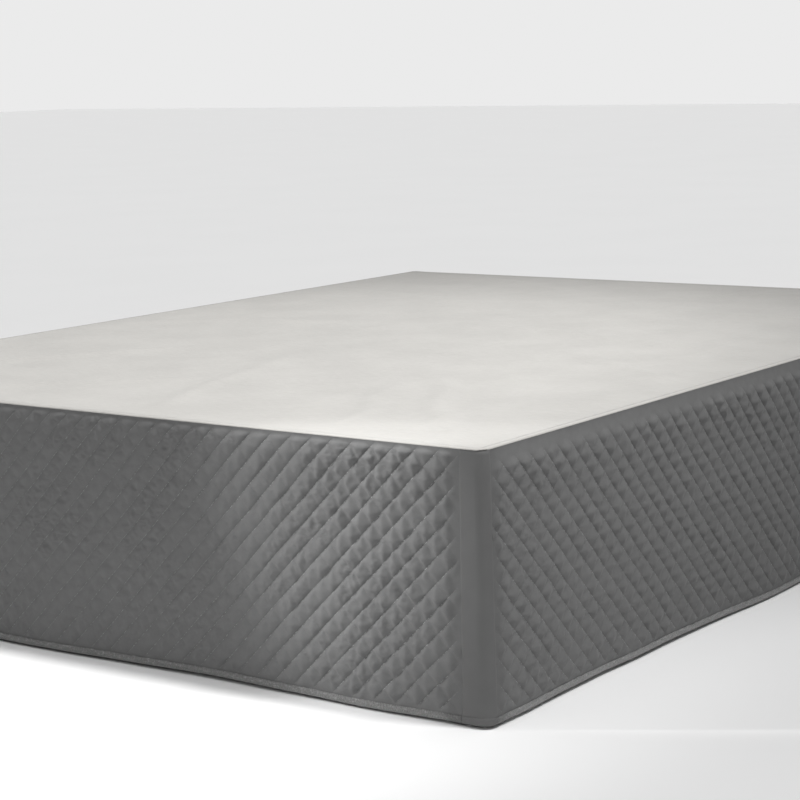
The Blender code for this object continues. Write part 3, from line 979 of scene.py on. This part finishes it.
def hemTape(name, put, lengths, finish, slot, where):  # put gives the points of one ring of the tape
    seed = tape["seeds"][where]
    atCorner = where.startswith("corner")
    pressed, full = tapeSection(*tape["corner"]), tapeSection(*tape["corner" if atCorner else "straight"])
    onLine = np.arange(len(full) // 2)
    onFront = np.concatenate([onLine, onLine[::-1]]) / (len(onLine) - 1)
    around = np.concatenate([[0.0], np.cumsum(np.linalg.norm(np.diff(full, axis=0), axis=1))])
    toCorner = np.minimum(lengths, lengths[-1] - lengths) if where == "foot" else lengths
    rings = []
    for k, length in enumerate(lengths):
        section = pressed + (full - pressed) * smoothStep(0.0, tape["flatReach"], toCorner[k])
        wobble = tape["wobble"] * float(softNoise(length, 0.0, tape["wobbleSize"], seed))
        ripple = tape["ripple"] * float(softNoise(length, 0.0, tape["rippleSize"], seed + 1))
        out = section[:, 0] + ripple * smoothStep(tape["rippleFrom"], 1.0, onFront)
        height = section[:, 1] + wobble * smoothStep(tape["wobbleFrom"], 1.0, onFront)
        rings.append(put(k, out, height))
    points = np.array(rings)
    numbers = np.arange(points.shape[0] * points.shape[1]).reshape(points.shape[:2])
    faces = gridFaces(np.concatenate([numbers, numbers[:, :1]], axis=1))
    faces += [numbers[0].tolist(), numbers[-1][::-1].tolist()]
    uv = np.stack(np.broadcast_arrays(lengths[:, None], around[None, :]), -1).reshape(-1, 2)
    made = clothObject(name, points.reshape(-1, 3), faces, uv)
    byCorner = 1 - smoothStep(0.0, tape["cornerReach"], toCorner)
    pointValues(made, "cornerShare", np.repeat(byCorner, points.shape[1]))
    return finishPiece(made, finish, slot, f"hem_binding_{where}")


def straightTape(name, side, finish):
    start, end = sideEnds[side]
    alongs = np.linspace(start, end, round((end - start) / tape["ringStep"]) + 1)

    def put(k, out, height):
        return place(side, np.full_like(out, alongs[k]), height, out)

    return hemTape(name, put, alongs - start, finish, "binding_tape", side)


def cornerTape(name, side, hand, finish):
    places, outs, lengths = cornerRoute()

    def put(k, out, height):
        return onCorner(hand, places[k], outs[k], height, out)

    return hemTape(name, put, lengths, finish, "plain_cloth", f"corner_{side}")


deck = {
    "columns": 170,
    "rows": 215,
    "rim": (0.0, 0.0008, 0.002, 0.005, 0.0085, 0.0115, 0.014, 0.0205, 0.0235, 0.030),  # close together
    "rimWidth": 0.040,
    "backEnds": 4,  # columns and rows of the front that the back skips at its ends
    "backStep": 6,  # and the step that it takes between them
    "standOff": 0.0031,
    "wrinkle": 0.0012,
    "wrinkleFrom": -0.2,
    "wrinkles": (  # how much, how far squashed, their size and their seed
        (0.6, (1.4, 1.0), 0.21, 91),
        (0.4, (1.0, 1.5), 0.075, 92),
    ),
    "calmRim": (0.012, 0.10),  # from the edge, where wrinkles and ridges set in
    "pucker": 0.0005,  # of the seam along the skirt
    "puckerSize": 0.012,
    "puckerSeed": 93,
    "puckerFade": (0.003, 0.014, 0.045),  # from the skirt: where it sets in, is whole and ends
    "edgeRoll": 0.0012,  # how far the rim rounds over
    "edgeRollReach": 0.0022,
    "allowance": 0.0105,  # how far the skirt's turned-in edge reaches under the sheet
    "allowanceLift": 0.0006,
    "allowanceEdge": (-0.002, 0.001),
    "headHem": 0.022,
    "headHemLift": 0.0008,
    "headHemEdge": (-0.0015, 0.0015),
    "hemFrom": 0.003,
    "ridgeWander": 0.022,  # so that the ridges aren't straight
    "ridgeWanderPitch": 3.0,
    "ridgeSeed": 110,
    "ridgeWidths": (0.8, 1.2),
    "ridgeStart": (-0.12, 0.30),  # where a ridge rises and falls, in shares of its length
    "ridgeEnd": (0.55, 1.15),
    "ridgePower": 3,
}

# soft ridges left in the sheet: ends in metres from the bed's middle, width and lift
deckRidges = (
    {"start": (0.70, -0.95), "end": (0.22, -0.38), "width": 0.044, "lift": 0.0054},
    {"start": (0.48, -0.98), "end": (0.30, -0.52), "width": 0.032, "lift": 0.0032},
    {"start": (0.12, -0.96), "end": (-0.10, -0.30), "width": 0.040, "lift": 0.0042},
    {"start": (-0.34, -0.97), "end": (-0.02, -0.62), "width": 0.036, "lift": 0.0035},
    {"start": (-0.71, -0.94), "end": (-0.28, -0.30), "width": 0.044, "lift": 0.0051},
    {"start": (0.74, -0.40), "end": (0.30, -0.06), "width": 0.040, "lift": 0.0042},
    {"start": (0.60, 0.02), "end": (-0.05, 0.18), "width": 0.048, "lift": 0.0045},
    {"start": (-0.74, -0.12), "end": (-0.22, 0.10), "width": 0.040, "lift": 0.0038},
    {"start": (0.73, 0.42), "end": (0.18, 0.56), "width": 0.044, "lift": 0.0048},
    {"start": (-0.72, 0.62), "end": (-0.16, 0.44), "width": 0.044, "lift": 0.0042},
    {"start": (0.10, 0.74), "end": (0.52, 0.96), "width": 0.036, "lift": 0.0035},
    {"start": (-0.20, 0.80), "end": (-0.60, 0.98), "width": 0.036, "lift": 0.0035},
)


def ridgesAt(x, y):
    total = np.zeros_like(x)
    for number, ridge in enumerate(deckRidges):
        (startX, startY), (endX, endY) = ridge["start"], ridge["end"]
        length = math.hypot(endX - startX, endY - startY)
        alongX, alongY = (endX - startX) / length, (endY - startY) / length
        along = ((x - startX) * alongX + (y - startY) * alongY) / length
        aside = (x - startX) * -alongY + (y - startY) * alongX
        wander = softNoise(along * deck["ridgeWanderPitch"], 0.0, 1.0, deck["ridgeSeed"] + number)
        aside = aside + deck["ridgeWander"] * wander
        width = ridge["width"] * blend(deck["ridgeWidths"], np.clip(along, 0, 1))
        fromCrest = np.clip(np.abs(aside) / width, 0, 1)
        ends = smoothStep(*deck["ridgeStart"], along) * (1 - smoothStep(*deck["ridgeEnd"], along))
        total += ridge["lift"] * ends * np.cos(fromCrest * math.pi / 2) ** deck["ridgePower"]
    return total


def deckSheet(name, finish, node):
    radius = skirt["cornerRadius"] + deck["standOff"]
    wide, footEnd = halfWidth + deck["standOff"], halfLength + deck["standOff"]
    rim, rimWidth = np.array(deck["rim"]), deck["rimWidth"]
    length = footEnd + halfLength
    inner = np.linspace(-wide + rimWidth, wide - rimWidth, deck["columns"])
    xs = np.concatenate([-wide + rim, inner, (wide - rim)[::-1]])
    inner = np.linspace(rimWidth, length - rimWidth, deck["rows"])
    shares = np.concatenate([rim, inner, (length - rim)[::-1]]) / length
    past = np.clip(np.abs(xs) - (wide - radius), 0, radius)
    footLine = -footEnd + radius - np.sqrt(radius ** 2 - past ** 2)

    def face(columns, rows, height):
        spotX = np.broadcast_to(xs[columns][None, :], (len(shares[rows]), len(xs[columns])))
        footEdge = footLine[columns][None, :]
        spotY = footEdge + (halfLength - footEdge) * shares[rows][:, None]
        level = np.broadcast_to(height, spotX.shape)
        return np.stack([spotX + middle.x, spotY + middle.y, level], -1), spotX, spotY

    def few(places):
        inside = np.arange(deck["backEnds"], len(places) - deck["backEnds"], deck["backStep"])
        return np.concatenate([[0], inside, [len(places) - 1]])

    front, spotX, spotY = face(slice(None), slice(None), deckHigh.z)
    toSkirt, toHead = np.minimum(wide - np.abs(spotX), spotY - footLine[None, :]), halfLength - spotY
    toEdge = np.minimum(toSkirt, toHead)
    wrinkles = 0
    for much, (squashX, squashY), size, seed in deck["wrinkles"]:
        wrinkles = wrinkles + much * softNoise(spotX * squashX, spotY * squashY, size, seed)
    wrinkles = deck["wrinkle"] * (np.clip(wrinkles, deck["wrinkleFrom"], 1.0) - deck["wrinkleFrom"])
    fadeFrom, fadeWhole, fadeTo = deck["puckerFade"]
    puckers = deck["pucker"] * (1 + softNoise(spotX, spotY, deck["puckerSize"], deck["puckerSeed"]))
    puckers = puckers * smoothStep(fadeTo, fadeWhole, toSkirt) * smoothStep(fadeFrom, fadeWhole, toSkirt)
    hems = []
    for hem, off in (("allowance", toSkirt), ("headHem", toHead)):
        low, high = (deck[hem] + edge for edge in deck[hem + "Edge"])
        hems.append(deck[hem + "Lift"] * (1 - smoothStep(low, high, off)))
    rolled = deck["edgeRoll"] * (1 - np.clip(toEdge / deck["edgeRollReach"], 0, 1)) ** 2
    front[..., 2] += (wrinkles + ridgesAt(spotX, spotY)) * smoothStep(*deck["calmRim"], toEdge) + puckers
    front[..., 2] += np.maximum(*hems) * smoothStep(0.0, deck["hemFrom"], toEdge) - rolled
    back, backX, backY = face(few(xs), few(shares), deckLow.z)
    made = sheetMesh(name, front, back, np.stack([spotX, spotY], -1), np.stack([backX, backY], -1))
    pointValues(made, "toSkirt", toSkirt, 1.0)
    pointValues(made, "toHead", toHead, 1.0)
    return finishPiece(made, finish, "deck_cloth", node)


base = {
    "cornerRadius": 0.020,
    "cornerSegments": 8,
    "bevel": 0.006,
    "edgeSegments": 4,
    "smoothUpTo": 40,  # degrees
}


def bedBase(name, finish, node):
    deselectAll()
    size = baseHigh - baseLow
    bpy.ops.mesh.primitive_cube_add(size=1, location=middle)
    made = bpy.context.object
    made.name = name
    made.scale = size
    bpy.ops.object.transform_apply(location=True, rotation=True, scale=True)
    bpy.ops.object.mode_set(mode="EDIT")
    bpy.ops.mesh.select_mode(type="EDGE")
    upright = size.z / 2
    selectOnly(made, "edges", lambda edge: abs(edge.verts[0].co.z - edge.verts[1].co.z) > upright)
    bpy.ops.mesh.bevel(offset=base["cornerRadius"], segments=base["cornerSegments"], affect="EDGES")
    hair = 1e-5
    rims = (baseLow.z, baseHigh.z)
    selectOnly(made, "edges", lambda edge: any(
        all(abs(corner.co.z - rim) < hair for corner in edge.verts) for rim in rims))
    bpy.ops.mesh.bevel(offset=base["bevel"], segments=base["edgeSegments"], affect="EDGES")
    bpy.ops.object.mode_set(mode="OBJECT")
    bpy.ops.object.shade_smooth_by_angle(angle=math.radians(base["smoothUpTo"]))
    return finishPiece(made, finish, "base_cloth", node)


foot = {
    "sides": 48,
    "taper": 0.8,  # how wide it is below, beside above
    "glideHeight": 0.004,
    "glideInset": 0.004,
    "groove": (0.098, 0.101),  # from and to, above the floor
    "grooveRim": 0.0004,
    "grooveWidth": 0.93,  # how wide the foot is in the groove, beside its own width there
    "bevel": 0.0012,
    "bevelSegments": 2,
    "bevelFrom": 40,  # degrees
    "smoothUpTo": 35,
}


def bedFoot(name, finish, node):
    low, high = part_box(node)
    centre = (low + high) / 2
    topRadius = (high.x - low.x) / 2
    glide = foot["glideHeight"]
    grooveLow, grooveHigh = foot["groove"]
    flat = 0.9  # how far up or down a face looks that lies flat
    deselectAll()
    bpy.ops.mesh.primitive_cone_add(
        vertices=foot["sides"], radius1=topRadius * foot["taper"], radius2=topRadius,
        depth=high.z - glide, location=(centre.x, centre.y, (high.z + glide) / 2),
    )
    made = bpy.context.object
    made.name = name
    bpy.ops.object.transform_apply(location=True, rotation=True, scale=True)
    bpy.ops.object.mode_set(mode="EDIT")
    bpy.ops.mesh.select_mode(type="FACE")
    for height in foot["groove"]:
        bpy.ops.mesh.select_all(action="SELECT")
        bpy.ops.mesh.bisect(plane_co=(0, 0, height), plane_no=(0, 0, 1))
    selectOnly(made, "faces", lambda face: (
        grooveLow < face.calc_center_median().z < grooveHigh and abs(face.normal.z) < flat))
    bpy.ops.mesh.inset(thickness=foot["grooveRim"], use_even_offset=True)
    bpy.ops.transform.resize(value=(foot["grooveWidth"], foot["grooveWidth"], 1.0), center_override=centre)
    selectOnly(made, "faces", lambda face: face.normal.z < -flat and face.calc_center_median().z < grooveLow)
    bpy.ops.mesh.inset(thickness=foot["glideInset"])
    bpy.ops.mesh.extrude_region_move(TRANSFORM_OT_translate={"value": (0, 0, -glide)})
    bpy.ops.object.mode_set(mode="OBJECT")
    softEdge = made.modifiers.new("softEdge", "BEVEL")
    softEdge.width, softEdge.segments = foot["bevel"], foot["bevelSegments"]
    softEdge.limit_method, softEdge.angle_limit = "ANGLE", math.radians(foot["bevelFrom"])
    bpy.ops.object.modifier_apply(modifier=softEdge.name)
    bpy.ops.object.shade_smooth_by_angle(angle=math.radians(foot["smoothUpTo"]))
    return finishPiece(made, finish, "foot_wood", node)


cloth, plain, tapeCloth = quiltedCloth(), plainCloth(), bindingTape()
panels, tapes = {}, {}
for side in ("foot", "left", "right"):
    panels[side] = quiltedPanel(f"quiltedPanel_{side}", side, cloth, f"quilted_panel_{side}")
    tapes[side] = straightTape(f"hemBinding_{side}", side, tapeCloth)
print("quilted panels:", {side: len(panel.data.polygons) for side, panel in panels.items()})

strips = {}
for side, hand in (("left", -1), ("right", 1)):
    strips[side] = cornerStrip(f"cornerStrip_{side}", hand, plain, f"corner_strip_{side}")
    tapes["corner_" + side] = cornerTape(f"hemBinding_corner_{side}", side, hand, plain)
print("corner strips and binding:", len(strips), len(tapes))

deckPiece = deckSheet("deckSheet", deckCloth(), "deck_sheet")
basePiece = bedBase("bedBase", baseCloth(), "bed_base")
wood = footWood()
for side in ("left", "right"):
    for number in (1, 2, 3):
        bedFoot(f"baseFoot_{side}_{number}", wood, f"base_foot_{side}_{number}")
print("deck sheet, base and feet")

for side, piece in strips.items():
    around = float(cornerRoute()[2][-1])

studio = {
    "floorColour": (0.94, 0.94, 0.94),
    "floorRoughness": 0.7,
    "floorCloud": {"scale": 1.5, "detail": 3.0, "from": (0.3, 0.7), "to": (0.995, 1.004)},
    "floorSize": 60,
    "skyLow": 0.37,  # the sky's strength near the horizon
    "skyHigh": 0.90,  # and high up
    "skyTop": 0.85,  # how much stronger it is straight overhead
    "skyTopFrom": 0.78,  # 1 is straight up
    "backdropTurn": 35.0,  # which way the bright backdrop lies, in degrees from +Y towards -X
    "backdrop": 0.46,
    "backdropEdges": (0.62, 0.96),  # where it sets in and is whole, 1 being its middle
    "rightShade": 0.55,  # how much dimmer the sky is towards +X
    "rightEdges": (-0.2, 0.9),  # where that sets in and is whole
    "footShade": 0.25,  # and towards -Y
    "footEdges": (0.1, -0.9),
}

# each lamp: where it stands from the near foot corner, what it is aimed at, its power, its beam and
# rim, its radius, and how tall the beam is beside its width and how far it is turned
lamps = {
    "footKey": {"at": (-1.92, -1.10, 1.33), "aim": (-0.285, 0.0, 0.33), "power": 140,
                "beam": 7.3, "rim": 0.8, "radius": 0.05, "tall": 2.35, "turn": -8.3},
    "footKeyNear": {"at": (-1.92, -1.10, 1.33), "aim": (-0.19, 0.0, 0.17), "power": 110,
                    "beam": 4.6, "rim": 0.8, "radius": 0.05, "tall": 3.9, "turn": -8.3},
    "sideKey": {"at": (1.9, 0.55, 4.9), "aim": (-0.80, 0.30, 0.40), "power": 990,
                "beam": 40, "rim": 0.5, "radius": 0.35, "tall": 0.55, "turn": 0},
    "cornerFill": {"at": (1.5, -2.0, 1.1), "aim": (0.0, 0.0, 0.2), "power": 75,
                   "beam": 22, "rim": 1.0, "radius": 0.4, "tall": 1.0, "turn": 0},
}

camera = {  # placed from the near foot corner of the hem
    "cornerAside": 0.0103,  # how far that corner stands out from the base
    "azimuth": 35.46,
    "pitch": 8.94,
    "roll": -1.4,
    "back": 2.955,
    "sideways": -0.114,
    "height": 0.934,
    "lens": 98.5,
    "sensor": 36,
}

nearCorner = Vector((
    middle.x + halfWidth + camera["cornerAside"], middle.y - halfLength - camera["cornerAside"],
    skirt["hemHeight"]))


def studioFloor():
    deselectAll()
    bpy.ops.mesh.primitive_grid_add(
        x_subdivisions=8, y_subdivisions=8, size=studio["floorSize"], location=(0, 0, 0))
    made = bpy.context.object
    made.name = "studioFloor"
    material, tree, shader = newMaterial("floorPaint", {"roughness": studio["floorRoughness"]})
    spot = addNode(tree, "ShaderNodeTexCoord").outputs["Object"]
    cloud = mottle(tree, spot, studio["floorCloud"])
    tree.links.new(tinted(tree, studio["floorColour"], cloud), shader.inputs["Base Color"])
    made.data.materials.append(material)


def studioSky():
    world = bpy.data.worlds.new("studioSky")
    bpy.context.scene.world = world
    world.use_nodes = True
    tree = world.node_tree
    facing = addNode(tree, "ShaderNodeTexCoord").outputs["Generated"]
    parts = addNode(tree, "ShaderNodeSeparateXYZ", {0: facing})
    upward = parts.outputs["Z"]
    turn = math.radians(studio["backdropTurn"])
    behind = (-math.sin(turn), math.cos(turn), 0.0)
    behind = addNode(tree, "ShaderNodeVectorMath", {0: facing, 1: behind}, operation="DOT_PRODUCT")
    behind = between(tree, behind.outputs["Value"], *studio["backdropEdges"], 0.0, studio["backdrop"])
    sky = between(tree, upward, 0.0, 1.0, studio["skyLow"], studio["skyHigh"])
    for axis, edges, shade in (("X", "rightEdges", "rightShade"), ("Y", "footEdges", "footShade")):
        dimmed = between(tree, parts.outputs[axis], *studio[edges], 1.0, 1 - studio[shade])
        sky = calc(tree, "MULTIPLY", sky, dimmed)
    overhead = between(tree, upward, studio["skyTopFrom"], 1.0, 0.0, studio["skyTop"])
    total = calc(tree, "ADD", calc(tree, "ADD", sky, behind), overhead)
    tree.links.new(total, tree.nodes["Background"].inputs["Strength"])
    tree.nodes["Background"].inputs["Color"].default_value = (1, 1, 1, 1)


def studioLamps():
    for name, values in lamps.items():
        lamp = bpy.data.lights.new(name, "SPOT")
        lamp.energy, lamp.shadow_soft_size = values["power"], values["radius"]
        lamp.spot_size, lamp.spot_blend = math.radians(values["beam"]), values["rim"]
        made = bpy.data.objects.new(name, lamp)
        made.scale = (1.0, values["tall"], 1.0)
        made.location = nearCorner + Vector(values["at"])
        aim = nearCorner + Vector(values["aim"]) - made.location
        turned = Quaternion((0.0, 0.0, 1.0), math.radians(values["turn"]))
        made.rotation_euler = (aim.to_track_quat("-Z", "Y") @ turned).to_euler()
        bpy.context.scene.collection.objects.link(made)


def studioCamera():
    turn, tip, roll = (math.radians(camera[key]) for key in ("azimuth", "pitch", "roll"))
    level = Vector((-math.sin(turn), math.cos(turn), 0))
    across = Vector((math.cos(turn), math.sin(turn), 0))
    up = Vector((0, 0, 1))
    look = level * math.cos(tip) - up * math.sin(tip)
    over = up * math.cos(tip) + level * math.sin(tip)
    rolledRight = across * math.cos(roll) + over * math.sin(roll)
    rolledUp = over * math.cos(roll) - across * math.sin(roll)
    made = bpy.data.objects.new("studioCamera", bpy.data.cameras.new("studioCamera"))
    made.data.sensor_width, made.data.lens = camera["sensor"], camera["lens"]
    spot = nearCorner - level * camera["back"] + across * camera["sideways"] + up * camera["height"]
    turned = Matrix((rolledRight, rolledUp, -look)).transposed()
    made.matrix_world = Matrix.Translation(spot) @ turned.to_4x4()
    bpy.context.scene.collection.objects.link(made)
    bpy.context.scene.camera = made


studioFloor()
studioSky()
studioLamps()
studioCamera()
bpy.context.scene.view_settings.view_transform = "Standard"
print("floor, lights and camera")
